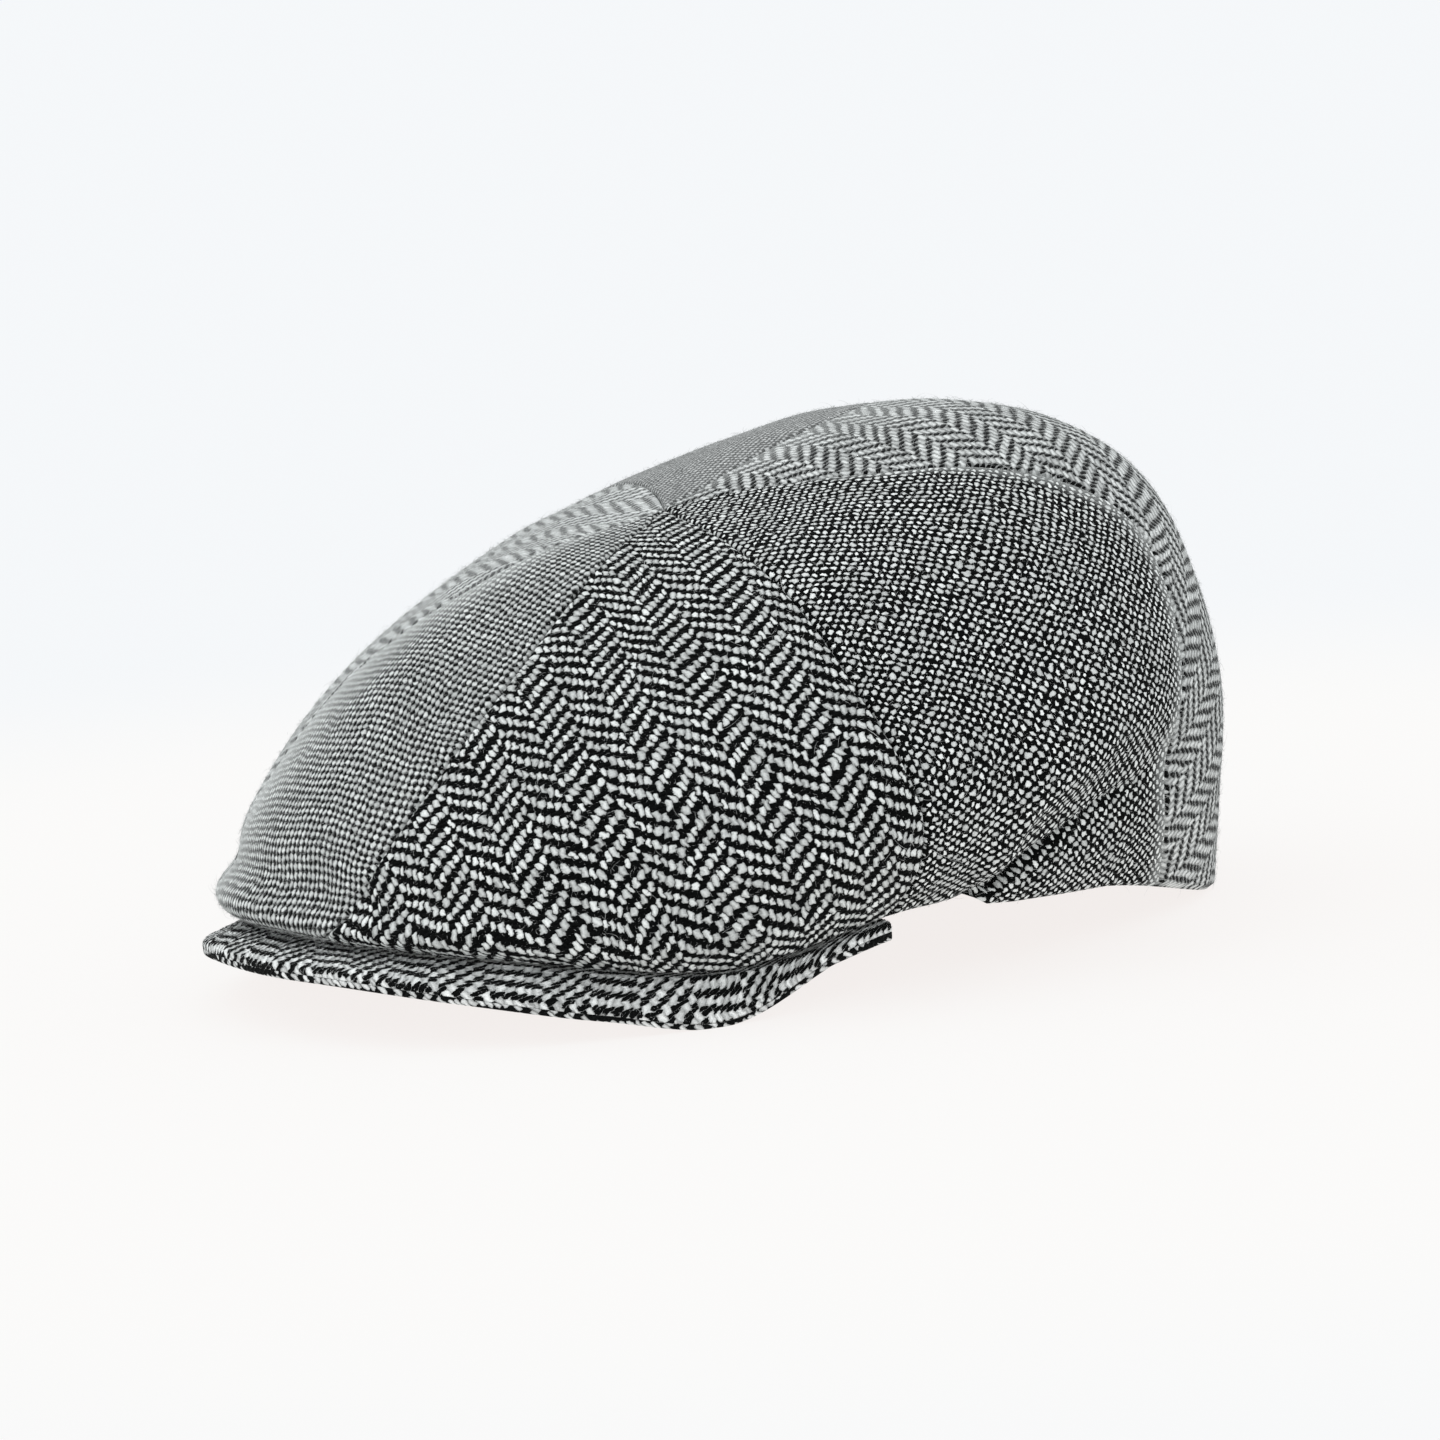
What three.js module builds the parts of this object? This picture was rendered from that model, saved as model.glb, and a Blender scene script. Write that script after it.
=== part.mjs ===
// A soft flat cap: a crown sewn from six cloth gores and a cloth covered peak under its front.
// Millimetres, +Z up. The peak points along -Y and the wearer's left side is +X.
// The cap stands on its back hem and on the two corners of its peak, at z = 0.
import * as THREE from 'three';

// Driving dimensions
const crownHalfWidth = 98; // plan reach of the crown to each side of its top point
const crownFront = 106; // plan reach from the top point to the front
const crownBack = 134; // plan reach from the top point to the back
const crownHeight = 121; // height that the shares of the table below are taken of
const clothWall = 2; // felted wool gore with its fusible backing
const hemWall = 3.2; // turned hem, two layers thick
const hemTurn = 14; // height of the turned hem on the wall of the crown
const hemBlend = 5; // height over which the wall thins above the turned hem
const seamGap = 0.3; // clearance between neighbouring gores
const tipRadius = 1.2; // where the six gores stop short of the top point
const peakDepth = 13; // reach of the peak past the front hem
const peakArch = 20; // height that the peak's edge heights are taken of
const peakTuck = 10; // reach of the peak inside the front hem
const peakCoverWall = 2.6; // upper cloth with the board half under it
const peakUndersideWall = 2.2; // lower cloth with the other half
const peakGap = 0.3; // clearance between the halves, and between peak and crown
const peakEndAngle = 86; // plan angle at which the peak runs out under the crown
const creaseDepth = 5; // depth of the fold low on each side
const bulgeHeight = 2.5; // cloth pushed out above that fold

// Facets
const goreColumns = 10;
const goreRows = 24;
const peakRows = 36;
const peakColumns = 6;

const seatGap = 0.4; // hem over peak, a little more than the gap to allow for the facets
const sectionStep = 30;
const peakStep = 15;

// Half sections of the crown by plan angle from the front, mirrored to the other side.
// reach is a share of the plan ellipse, the heights are shares of crownHeight, and hemReach is a share of reach.
const shoulderShares = [0.36, 0.66, 0.88];
const apexHeight = 0.842;
const sections = [
  { angle: 0, reach: 1.03, inner: 0.784, middle: 0.625, shoulder: 0.41, bulge: 0.21, hemReach: 0.945, hemHeight: 0.16 },
  { angle: 30, reach: 1.03, inner: 0.775, middle: 0.61, shoulder: 0.4, bulge: 0.205, hemReach: 0.945, hemHeight: 0.145 },
  { angle: 60, reach: 0.98, inner: 0.79, middle: 0.655, shoulder: 0.475, bulge: 0.24, hemReach: 0.915, hemHeight: 0.093 },
  { angle: 90, reach: 1.0, inner: 0.825, middle: 0.745, shoulder: 0.57, bulge: 0.38, hemReach: 0.84, hemHeight: 0.142 },
  { angle: 120, reach: 1.03, inner: 0.885, middle: 0.855, shoulder: 0.715, bulge: 0.44, hemReach: 0.88, hemHeight: 0.1 },
  { angle: 150, reach: 1.03, inner: 0.94, middle: 0.94, shoulder: 0.808, bulge: 0.46, hemReach: 0.97, hemHeight: 0 },
  { angle: 180, reach: 1.02, inner: 0.95, middle: 0.96, shoulder: 0.835, bulge: 0.48, hemReach: 0.99, hemHeight: 0 },
];

// Plan angle of each seam at even steps from the top point to the hem. The cloth is pulled a little to one side.
const seams = {
  frontLeft: [38, 33, 26, 18, 11, 8, 8],
  left: [72, 77, 80, 83, 86, 87, 86],
  backLeft: [122, 121, 128, 133, 126, 125, 130],
  backRight: [190, 188, 203, 214, 219, 220, 220],
  right: [246, 252, 257, 261, 265, 266, 267],
  frontRight: [362, 359, 338, 332, 332, 333, 334],
};

// Outer edge of the peak by plan angle: reach past the hem as a share of peakDepth, height as a share of peakArch.
const peakEdge = [
  { angle: 0, reach: 1, height: 0.63 },
  { angle: 15, reach: 0.94, height: 0.61 },
  { angle: 30, reach: 0.75, height: 0.44 },
  { angle: 45, reach: 0.54, height: 0.17 },
  { angle: 60, reach: 0.31, height: -0.06 },
  { angle: 75, reach: 0.17, height: 0.42 },
  { angle: 90, reach: 0, height: 0.95 },
];

// The fold low on each side: where it runs, as the share of the way to the hem, and how deep it is.
const creaseSpread = 0.07;
const crease = [
  { angle: 96, share: 1.0, depth: 0 },
  { angle: 101, share: 0.88, depth: 1 },
  { angle: 112, share: 0.8, depth: 0.9 },
  { angle: 124, share: 0.76, depth: 0.5 },
  { angle: 140, share: 0.72, depth: 0 },
];

const radians = THREE.MathUtils.degToRad;

// Smooth curve through the values b and c, led in by a and out by d.
function curve(a, b, c, d, f) {
  const bend = 2 * a - 5 * b + 4 * c - d;
  const turn = 3 * b - a - 3 * c + d;
  return 0.5 * (2 * b + (c - a) * f + bend * f * f + turn * f * f * f);
}

// Value of a column of the sections at any plan angle, the same on both sides.
function sectionValue(column, angle) {
  const turns = sections.length - 1;
  const at = (index) => {
    const wrapped = ((index % (2 * turns)) + 2 * turns) % (2 * turns);
    return sections[wrapped > turns ? 2 * turns - wrapped : wrapped][column];
  };
  const place = angle / sectionStep;
  const index = Math.floor(place);
  return curve(at(index - 1), at(index), at(index + 1), at(index + 2), place - index);
}

// Value of a column of the peak's edge, the same on both sides.
function peakValue(column, angle) {
  const last = peakEdge.length - 1;
  const at = (index) => peakEdge[Math.min(Math.abs(index), last)][column];
  const place = Math.abs(angle) / peakStep;
  const index = Math.min(Math.floor(place), last - 1);
  return curve(at(index - 1), at(index), at(index + 1), at(index + 2), place - index);
}

// Value between the rows of a table by plan angle, straight from row to row.
function tableValue(rows, column, angle) {
  const upper = rows.findIndex((row) => row.angle >= angle);
  if (upper < 0) return rows[rows.length - 1][column];
  if (upper === 0) return rows[0][column];
  const low = rows[upper - 1];
  const high = rows[upper];
  const mix = (angle - low.angle) / (high.angle - low.angle);
  return low[column] + mix * (high[column] - low[column]);
}

// Plan angle of a seam at a share of the way from the top point to the hem.
function seamAngle(angles, share) {
  const at = (index) => angles[Math.min(Math.max(index, 0), angles.length - 1)];
  const place = share * (angles.length - 1);
  const index = Math.min(Math.floor(place), angles.length - 2);
  return curve(at(index - 1), at(index), at(index + 1), at(index + 2), place - index);
}

// Plan point at a reach along a plan angle. The plan is an egg: two half ellipses that meet at the sides.
function planPoint(angle, reach) {
  const forward = Math.cos(radians(angle));
  const length = forward > 0 ? crownFront : crownBack;
  return [reach * Math.sin(radians(angle)) * crownHalfWidth, -reach * forward * length];
}

function hemReach(angle) {
  return sectionValue('reach', angle) * sectionValue('hemReach', angle);
}

function hemHeight(angle) {
  return Math.max(0, sectionValue('hemHeight', angle) * crownHeight);
}

// Stations of the crown's half section at a plan angle: reach and height, from the far side of the top to the hem.
function crownStations(angle) {
  const reach = sectionValue('reach', angle);
  const bulge = sectionValue('bulge', angle) * crownHeight;
  const hem = hemHeight(angle);
  const tuck = reach - hemReach(angle);
  const far = angle + 180;
  const stations = [
    [-sectionValue('reach', far) * shoulderShares[0], sectionValue('inner', far) * crownHeight],
    [0, apexHeight * crownHeight],
  ];
  ['inner', 'middle', 'shoulder'].forEach((column, i) => {
    stations.push([reach * shoulderShares[i], sectionValue(column, angle) * crownHeight]);
  });
  stations.push([reach, bulge]);
  stations.push([reach - 0.28 * tuck, hem + 0.42 * (bulge - hem)]);
  stations.push([reach - tuck, hem]);
  const [before, last] = stations.slice(-2);
  stations.push([2 * last[0] - before[0], 2 * last[1] - before[1]]);
  return stations;
}

// Push of the cloth outwards at a plan angle and share: in at the fold, out above it.
function creasePush(angle, share) {
  const side = angle > 180 ? 360 - angle : angle;
  const depth = tableValue(crease, 'depth', side);
  if (depth === 0) return 0;
  const offset = (share - tableValue(crease, 'share', side)) / creaseSpread;
  const fold = -creaseDepth * Math.exp(-offset * offset);
  const swell = bulgeHeight * Math.exp(-((offset + 2.2) ** 2) / 2);
  const seated = THREE.MathUtils.smoothstep(1 - share, 0, 0.06);
  return depth * seated * (fold + swell);
}

// Root of the distance between two stations, which spaces them along the smooth section.
function stationSpan(from, to) {
  return Math.sqrt(Math.hypot((to[0] - from[0]) * crownHalfWidth, to[1] - from[1]));
}

// Smooth section through the stations b and c, whose tangents allow for the uneven spans to a and d.
function sectionCurve([a, b, c, d], part, f) {
  const [before, span, after] = [stationSpan(a, b), stationSpan(b, c), stationSpan(c, d)];
  const [p, q, r, s] = [a[part], b[part], c[part], d[part]];
  const leave = span * ((q - p) / before - (r - p) / (before + span) + (r - q) / span);
  const arrive = span * ((r - q) / span - (s - q) / (span + after) + (s - r) / after);
  const bend = 3 * (r - q) - 2 * leave - arrive;
  const turn = 2 * (q - r) + leave + arrive;
  return q + leave * f + bend * f * f + turn * f * f * f;
}

// Point on the outside of the crown, share 0 at the top point and 1 at the hem.
function crownPoint(angle, share) {
  const stations = crownStations(angle);
  const segments = stations.length - 3;
  const place = share * segments;
  const index = Math.min(Math.floor(place), segments - 1);
  const near = stations.slice(index, index + 4);
  const reach = sectionCurve(near, 0, place - index);
  const height = sectionCurve(near, 1, place - index);
  const [x, y] = planPoint(angle, reach);
  const plan = Math.hypot(x, y);
  const scale = plan > 0 ? (plan + creasePush(((angle % 360) + 360) % 360, share)) / plan : 1;
  return new THREE.Vector3(x * scale, y * scale, height);
}

// Outward direction of the crown's surface.
function crownNormal(angle, share) {
  const step = 0.01;
  const low = Math.min(Math.max(share - step, step), 1 - 2 * step);
  const down = crownPoint(angle, low + 2 * step).sub(crownPoint(angle, low));
  const around = crownPoint(angle + 1, share).sub(crownPoint(angle - 1, share));
  return around.cross(down).normalize().negate();
}

// Closed body between an outer and an inner grid of points, both [row][column].
// Seen from outside, rows run down and columns run to the right. Both sides split their quads
// along the same diagonal, so neighbouring bodies with twisted sides keep their gap.
function slab(outer, inner) {
  const rows = outer.length;
  const columns = outer[0].length;
  const positions = [];
  const indices = [];
  [outer, inner].forEach((grid) => grid.forEach((row) => row.forEach((point) => positions.push(...point.toArray()))));
  const layer = rows * columns;
  const front = (row, column) => row * columns + column;
  const back = (row, column) => layer + front(row, column);
  const quad = (a, b, c, d) => indices.push(a, b, c, a, c, d);
  for (let row = 0; row < rows - 1; row += 1) {
    for (let column = 0; column < columns - 1; column += 1) {
      quad(front(row, column), front(row + 1, column), front(row + 1, column + 1), front(row, column + 1));
      quad(back(row, column), back(row, column + 1), back(row + 1, column + 1), back(row + 1, column));
    }
    quad(front(row, 0), back(row, 0), back(row + 1, 0), front(row + 1, 0));
    quad(front(row, columns - 1), front(row + 1, columns - 1), back(row + 1, columns - 1), back(row, columns - 1));
  }
  for (let column = 0; column < columns - 1; column += 1) {
    quad(front(0, column + 1), back(0, column + 1), back(0, column), front(0, column));
    quad(front(rows - 1, column), back(rows - 1, column), back(rows - 1, column + 1), front(rows - 1, column + 1));
  }
  const geometry = new THREE.BufferGeometry();
  geometry.setAttribute('position', new THREE.Float32BufferAttribute(positions, 3));
  geometry.setIndex(indices);
  geometry.computeVertexNormals();
  return geometry;
}

// Share at which a gore starts, so that its tip stays a set distance from the top point.
function tipShare() {
  const reach = (tipRadius / crownHalfWidth) / (shoulderShares[0] * sections[3].reach);
  return reach / (shoulderShares.length + 3);
}

// One gore of the crown between two seams, with its hem turned up inside.
function goreGeometry(rightSeam, leftSeam) {
  const outer = [];
  const inner = [];
  const start = tipShare();
  for (let row = 0; row <= goreRows; row += 1) {
    const share = start + (1 - start) * (row / goreRows);
    const outerRow = [];
    const innerRow = [];
    const from = seamAngle(rightSeam, share);
    let to = seamAngle(leftSeam, share);
    if (to < from) to += 360;
    for (let column = 0; column <= goreColumns; column += 1) {
      const even = from + (to - from) * (column / goreColumns);
      const plan = crownPoint(even, share);
      const halfGap = THREE.MathUtils.radToDeg(seamGap / 2 / Math.hypot(plan.x, plan.y));
      const angle = from + halfGap + (to - from - 2 * halfGap) * (column / goreColumns);
      const point = crownPoint(angle, share);
      const above = THREE.MathUtils.smoothstep(point.z - hemHeight(angle), hemTurn - hemBlend, hemTurn);
      const wall = hemWall + (clothWall - hemWall) * above;
      const inside = point.clone().addScaledVector(crownNormal(angle, share), -wall);
      if (row === goreRows) inside.z = point.z;
      outerRow.push(point);
      innerRow.push(inside);
    }
    outer.push(outerRow);
    inner.push(innerRow);
  }
  return slab(outer, inner);
}

// Section of the peak at a plan angle: points from its inner edge, under the hem, out to its outer edge.
// Each is a plan point, a height of the face between the two halves, and how full the halves are there.
function peakSection(angle) {
  const [hemX, hemY] = planPoint(angle, hemReach(angle));
  const hem = Math.hypot(hemX, hemY);
  const reach = peakDepth * peakValue('reach', angle);
  const edgeHeight = peakArch * peakValue('height', angle) + peakUndersideWall + peakGap / 2;
  const hemSide = hemHeight(angle) - seatGap - peakCoverWall - peakGap / 2;
  const underHem = Math.max(hemSide, peakUndersideWall + peakGap / 2);
  const edgeSide = Math.min(edgeHeight, underHem);
  const points = [];
  for (let column = 0; column <= peakColumns; column += 1) {
    const share = column / peakColumns;
    const eased = 1 - (1 - share) ** 1.6;
    const out = -peakTuck + (peakTuck + reach) * eased;
    const past = Math.min(Math.max(out / Math.max(reach, 1), 0), 1);
    const height = underHem + (edgeSide - underHem) * past;
    const scale = (hem + out) / hem;
    const fullness = Math.sqrt(1 - 0.96 * share ** 6);
    points.push({ x: hemX * scale, y: hemY * scale, height, fullness });
  }
  return points;
}

// One half of the peak: side is 1 for the upper half and -1 for the lower, which lies flat where it meets z = 0.
function peakGeometry(side, wall) {
  const outer = [];
  const inner = [];
  for (let row = 0; row <= peakRows; row += 1) {
    const angle = peakEndAngle * (1 - (2 * row) / peakRows);
    const section = peakSection(angle);
    const face = section.map((p) => new THREE.Vector3(p.x, p.y, p.height + (side * peakGap) / 2));
    const skin = section.map((p) => {
      const height = p.height + side * (peakGap / 2 + wall * p.fullness);
      return new THREE.Vector3(p.x, p.y, Math.max(0, height));
    });
    outer.push(side > 0 ? skin : face);
    inner.push(side > 0 ? face : skin);
  }
  return slab(outer, inner);
}

function cloth(name, color, geometry) {
  const mesh = new THREE.Mesh(geometry, new THREE.MeshStandardMaterial({ color, roughness: 0.95, metalness: 0 }));
  mesh.name = name;
  return mesh;
}

const group = new THREE.Group();
const { frontLeft, left, backLeft, backRight, right, frontRight } = seams;
group.add(cloth('front_panel', 0x8f9290, goreGeometry(frontRight, frontLeft)));
group.add(cloth('front_left_panel', 0x6f7371, goreGeometry(frontLeft, left)));
group.add(cloth('rear_left_panel', 0x5d605f, goreGeometry(left, backLeft)));
group.add(cloth('back_panel', 0x8b8e8c, goreGeometry(backLeft, backRight)));
group.add(cloth('rear_right_panel', 0x6a6d6c, goreGeometry(backRight, right)));
group.add(cloth('front_right_panel', 0x9a9d9b, goreGeometry(right, frontRight)));
group.add(cloth('peak_cover', 0x6f7371, peakGeometry(1, peakCoverWall)));
group.add(cloth('peak_underside', 0x5d605f, peakGeometry(-1, peakUndersideWall)));

// The origin is at the bottom centre of the cap.
const box = new THREE.Box3().setFromObject(group);
const centre = box.getCenter(new THREE.Vector3());
group.position.set(-centre.x, -centre.y, -box.min.z);

export default group;
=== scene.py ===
"""A soft flat cap: six tweed gores over a short peak in coarse herringbone."""

import logging
import math
from dataclasses import dataclass, field
from enum import Enum
from typing import Any, Iterable, Optional

import bpy
import numpy as np
from mathutils import Matrix, Vector


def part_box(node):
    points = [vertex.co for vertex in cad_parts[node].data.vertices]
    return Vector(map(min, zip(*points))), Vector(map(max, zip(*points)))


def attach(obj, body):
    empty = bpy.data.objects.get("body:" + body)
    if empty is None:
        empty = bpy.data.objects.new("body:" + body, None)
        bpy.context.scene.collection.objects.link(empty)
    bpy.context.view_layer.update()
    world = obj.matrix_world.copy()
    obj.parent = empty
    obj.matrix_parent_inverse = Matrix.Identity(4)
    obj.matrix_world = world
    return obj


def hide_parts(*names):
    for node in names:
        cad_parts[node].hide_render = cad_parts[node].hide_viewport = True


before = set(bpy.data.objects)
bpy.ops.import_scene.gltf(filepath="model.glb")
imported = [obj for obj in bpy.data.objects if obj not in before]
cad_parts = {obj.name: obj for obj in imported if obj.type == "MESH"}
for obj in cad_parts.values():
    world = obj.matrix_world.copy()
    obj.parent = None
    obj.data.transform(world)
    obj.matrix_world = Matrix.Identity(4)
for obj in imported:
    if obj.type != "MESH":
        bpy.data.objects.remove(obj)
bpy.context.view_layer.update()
MM = 0.001
Array = np.ndarray
Row = tuple[float, ...]
log = logging.getLogger("flat_cap")


class Weave(Enum):
    """How the two sets of yarn cross."""

    PLAIN = "plain"
    HERRINGBONE = "herringbone"


def eased(part: Any) -> Any:
    """Smooth step of a share from 0 to 1."""
    return part * part * (3 - 2 * part)


def ridge(offset: Array, width: float) -> Array:
    """Rounded ridge of height 1 where the offset is 0."""
    return np.exp(-(offset / width) ** 2)


def from_front(angle: Array) -> Array:
    """Plan angle from the front on either side, from 0 to 180 degrees."""
    side = np.mod(angle, 360)
    return np.where(side > 180, 360 - side, side)


@dataclass(frozen=True)
class Section:
    """Half section of the crown at one plan angle, in shares, as in the part's own source."""

    angle: float
    reach: float
    inner: float
    middle: float
    shoulder: float
    bulge: float
    hem_reach: float
    hem_height: float


@dataclass
class CrownForm:
    """The smooth outside of the crown, in millimetres about its top point."""

    half_width: float = 98.0
    front: float = 106.0
    back: float = 134.0
    height: float = 121.0
    apex: float = 0.842
    shoulders: Row = (0.36, 0.66, 0.88)
    section_step: float = 30.0
    spans: int = 6
    crease_depth: float = 5.0
    bulge_height: float = 2.5
    bulge_above: float = 2.2
    crease_spread: float = 0.07
    crease_end: float = 0.06
    tuck_share: float = 0.28
    tuck_height: float = 0.42
    sections: tuple[Section, ...] = (
        Section(0, 1.03, 0.784, 0.625, 0.41, 0.21, 0.945, 0.16),
        Section(30, 1.03, 0.775, 0.61, 0.4, 0.205, 0.945, 0.145),
        Section(60, 0.98, 0.79, 0.655, 0.475, 0.24, 0.915, 0.093),
        Section(90, 1.0, 0.825, 0.745, 0.57, 0.38, 0.84, 0.142),
        Section(120, 1.03, 0.885, 0.855, 0.715, 0.44, 0.88, 0.1),
        Section(150, 1.03, 0.94, 0.94, 0.808, 0.46, 0.97, 0.0),
        Section(180, 1.02, 0.95, 0.96, 0.835, 0.48, 0.99, 0.0),
    )
    crease_angle: Row = (96, 101, 112, 124, 140)
    crease_share: Row = (1.0, 0.88, 0.8, 0.76, 0.72)
    crease_fall: Row = (0, 1, 0.9, 0.5, 0)

    @staticmethod
    def blend(a: Any, b: Any, c: Any, d: Any, f: Any) -> Any:
        """Smooth curve through b and c, led in by a and out by d."""
        bend = 2 * a - 5 * b + 4 * c - d
        turn = 3 * b - a - 3 * c + d
        return 0.5 * (2 * b + (c - a) * f + bend * f * f + turn * f ** 3)

    def value(self, column: str, angle: Array) -> Array:
        """Value of a column of the sections at plan angles, the same on both sides."""
        half = np.array([getattr(s, column) for s in self.sections], float)
        ring = np.concatenate([half, half[-2:0:-1]])
        place = np.asarray(angle, float) / self.section_step
        index = np.floor(place).astype(int)
        at = [ring[(index + k) % len(ring)] for k in (-1, 0, 1, 2)]
        return self.blend(*at, place - index)

    def plan(self, angle: Array, reach: Array) -> tuple[Array, Array]:
        """Plan point at a reach along a plan angle."""
        turn = np.radians(angle)
        forward = np.cos(turn)
        length = np.where(forward > 0, self.front, self.back)
        return reach * np.sin(turn) * self.half_width, -reach * forward * length

    def hem_reach(self, angle: Array) -> Array:
        """Reach of the hem at plan angles."""
        return self.value("reach", angle) * self.value("hem_reach", angle)

    def hem_height(self, angle: Array) -> Array:
        """Height of the hem at plan angles."""
        return np.maximum(0, self.value("hem_height", angle) * self.height)

    def stations(self, angle: Array) -> tuple[Array, Array]:
        """Reach and height of the nine stations of the half section at each plan angle."""
        reach = self.value("reach", angle)
        bulge = self.value("bulge", angle) * self.height
        hem = self.hem_height(angle)
        tuck = reach - self.hem_reach(angle)
        far = np.asarray(angle, float) + 180
        across = [-self.value("reach", far) * self.shoulders[0], np.zeros_like(reach)]
        up = [self.value("inner", far) * self.height, np.full_like(reach, self.apex * self.height)]
        for share, column in zip(self.shoulders, ("inner", "middle", "shoulder")):
            across.append(reach * share)
            up.append(self.value(column, angle) * self.height)
        across += [reach, reach - self.tuck_share * tuck, reach - tuck]
        up += [bulge, hem + self.tuck_height * (bulge - hem), hem]
        across.append(2 * across[-1] - across[-2])
        up.append(2 * up[-1] - up[-2])
        return np.stack(across, -1), np.stack(up, -1)

    def crease_push(self, angle: Array, share: Array) -> Array:
        """Push of the cloth outwards at the fold low on each side, and above it."""
        side = from_front(angle)
        depth = np.interp(side, self.crease_angle, self.crease_fall)
        offset = (share - np.interp(side, self.crease_angle, self.crease_share)) / self.crease_spread
        fold = -self.crease_depth * ridge(offset, 1)
        swell = self.bulge_height * np.exp(-((offset + self.bulge_above) ** 2) / 2)
        near = np.clip((1 - share) / self.crease_end, 0, 1)
        return depth * eased(near) * (fold + swell)

    def point(self, angle: Array, share: Array) -> Array:
        """Points on the outside of the crown, share 0 at the top point and 1 at the hem.

        Args:
            angle: plan angles from the front, in degrees.
            share: shares of the way from the top point to the hem, of the same shape.

        Returns:
            Points in millimetres, with a last axis of 3.
        """
        angle, share = np.broadcast_arrays(np.asarray(angle, float), np.asarray(share, float))
        across, up = self.stations(angle)
        place = share * self.spans
        index = np.clip(np.floor(place).astype(int), 0, self.spans - 1)
        f = place - index

        def near(values: Array) -> list[Array]:
            return [np.take_along_axis(values, (index + k)[..., None], -1)[..., 0] for k in range(4)]

        reach, high = near(across), near(up)
        spans = [
            np.sqrt(np.hypot((reach[k + 1] - reach[k]) * self.half_width, high[k + 1] - high[k]))
            for k in range(3)
        ]

        def along(v: list[Array]) -> Array:
            before, span, after = spans
            leave = span * ((v[1] - v[0]) / before - (v[2] - v[0]) / (before + span) + (v[2] - v[1]) / span)
            arrive = span * ((v[2] - v[1]) / span - (v[3] - v[1]) / (span + after) + (v[3] - v[2]) / after)
            bend = 3 * (v[2] - v[1]) - 2 * leave - arrive
            turn = 2 * (v[1] - v[2]) + leave + arrive
            return v[1] + leave * f + bend * f * f + turn * f ** 3

        x, y = self.plan(angle, along(reach))
        out = np.hypot(x, y)
        scale = np.where(out > 1e-6, 1 + self.crease_push(angle, share) / np.maximum(out, 1e-6), 1)
        return np.stack([x * scale, y * scale, along(high)], -1)


@dataclass
class PeakForm:
    """The smooth halves of the peak, in millimetres about the crown's top point."""

    crown: CrownForm
    depth: float = 13.0
    arch: float = 20.0
    tuck: float = 10.0
    cover_wall: float = 2.6
    underside_wall: float = 2.2
    gap: float = 0.3
    hem_gap: float = 0.4
    end_angle: float = 86.0
    row_step: float = 15.0
    edge_power: int = 9
    spread_power: float = 1.6
    reaches: Row = (1, 0.94, 0.75, 0.54, 0.31, 0.17, 0)
    heights: Row = (0.63, 0.61, 0.44, 0.17, -0.06, 0.42, 0.95)

    def edge(self, row: Row, angle: Array) -> Array:
        """Value of a row of the peak's edge at plan angles, the same on both sides."""
        values = np.array(row, float)
        place = np.abs(angle) / self.row_step
        index = np.minimum(np.floor(place).astype(int), len(row) - 2)
        at = [values[np.minimum(np.abs(index + k), len(row) - 1)] for k in (-1, 0, 1, 2)]
        return CrownForm.blend(*at, place - index)

    def section(self, angle: Array, share: Array) -> tuple[Array, ...]:
        """Plan points, heights of the face between the halves, and how full the halves are."""
        x, y = self.crown.plan(angle, self.crown.hem_reach(angle))
        hem = np.hypot(x, y)
        reach = self.depth * self.edge(self.reaches, angle)
        low = self.underside_wall + self.gap / 2
        edge_height = self.arch * self.edge(self.heights, angle) + low
        under_hem = np.maximum(self.crown.hem_height(angle) - self.hem_gap - self.cover_wall - self.gap / 2,
                               low)
        edge_side = np.minimum(edge_height, under_hem)
        out = -self.tuck + (self.tuck + reach) * (1 - (1 - share) ** self.spread_power)
        past = np.clip(out / np.maximum(reach, 1), 0, 1)
        height = under_hem + (edge_side - under_hem) * past
        scale = (hem + out) / hem
        full = np.sqrt(np.clip(1 - share ** self.edge_power, 0, 1))
        return x * scale, y * scale, height, full


class ArrayMaths:
    """The few functions that a weave needs, on arrays."""

    floor = staticmethod(np.floor)
    mod = staticmethod(np.mod)

    @staticmethod
    def under(a: Any, b: float) -> Any:
        """1 where a is less than b, and 0 elsewhere."""
        return np.where(a < b, 1.0, 0.0)


class Value:
    """One number socket of a finish, with arithmetic that adds its Math nodes."""

    def __init__(self, board: "NodeBoard", socket: Any) -> None:
        """Wraps a socket of a board."""
        self.board = board
        self.socket = socket

    def apply(self, operation: str, *others: Any) -> "Value":
        """A Math node on this value and others."""
        return self.board.maths(operation, self, *others)

    def __add__(self, other: Any) -> "Value":
        """Sum."""
        return self.apply("ADD", other)

    __radd__ = __add__

    def __sub__(self, other: Any) -> "Value":
        """Difference."""
        return self.apply("SUBTRACT", other)

    def __rsub__(self, other: Any) -> "Value":
        """Difference, the other way round."""
        return self.board.maths("SUBTRACT", other, self)

    def __mul__(self, other: Any) -> "Value":
        """Product."""
        return self.apply("MULTIPLY", other)

    __rmul__ = __mul__

    def __truediv__(self, other: Any) -> "Value":
        """Quotient."""
        return self.apply("DIVIDE", other)

    def __pow__(self, other: Any) -> "Value":
        """Power."""
        return self.apply("POWER", other)


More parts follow.
